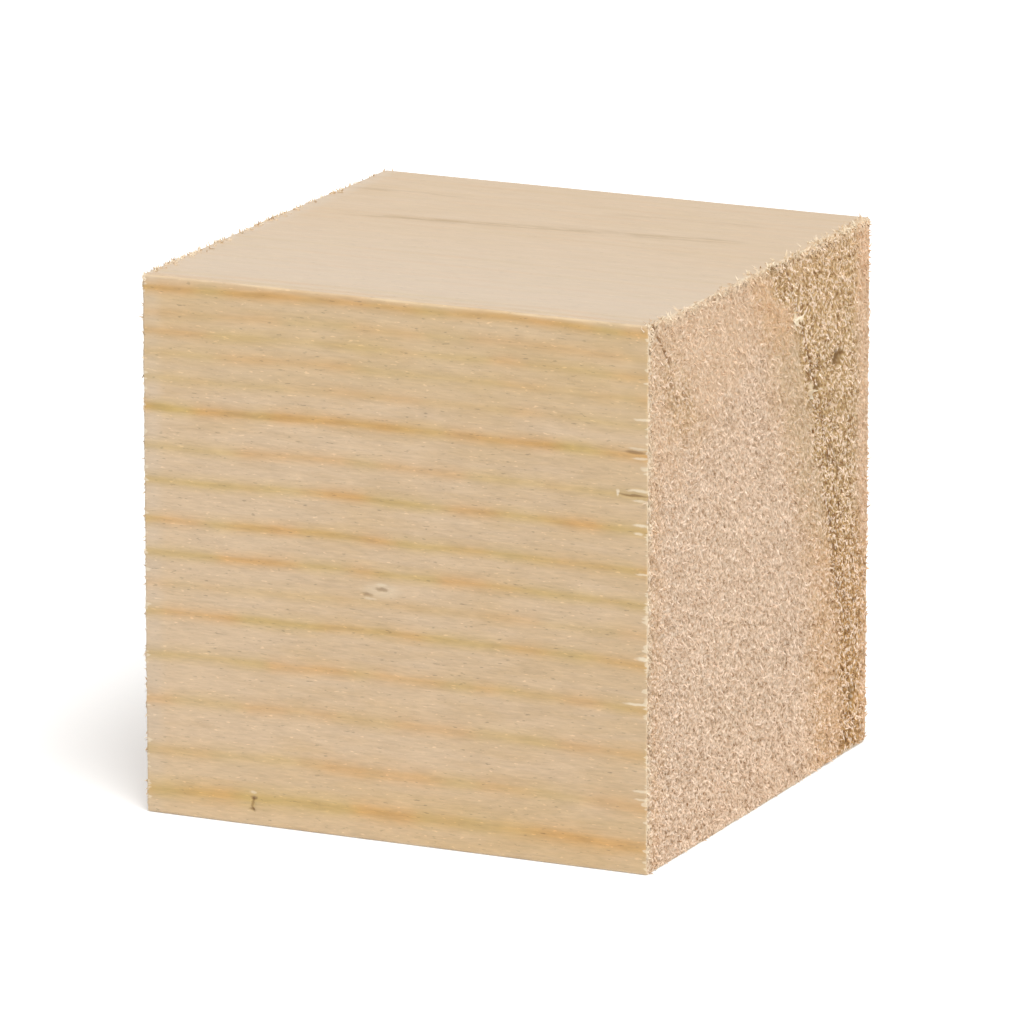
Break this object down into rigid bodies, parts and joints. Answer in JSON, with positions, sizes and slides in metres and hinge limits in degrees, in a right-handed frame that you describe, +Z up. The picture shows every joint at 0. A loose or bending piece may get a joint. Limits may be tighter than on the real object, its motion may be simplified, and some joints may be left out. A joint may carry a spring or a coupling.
{
  "type": "wooden cube",
  "caption": "Solid softwood cube with planed long-grain faces, sawn end-grain faces and lightly eased edges, for stacking, craft work and spacing.",
  "frame": {"origin": "middle of the bottom face", "axes": "+Z up through the top face; +X along the grain, out of the sawn end with the torn pits; -Y out of the front face with the pin knot"},
  "size_m": [0.05, 0.05, 0.05],
  "materials": {
    "softwood": "planed softwood, unfinished, with sawn end grain"
  },
  "bodies": {
    "root": {"block": "softwood"}
  },
  "joints": []
}
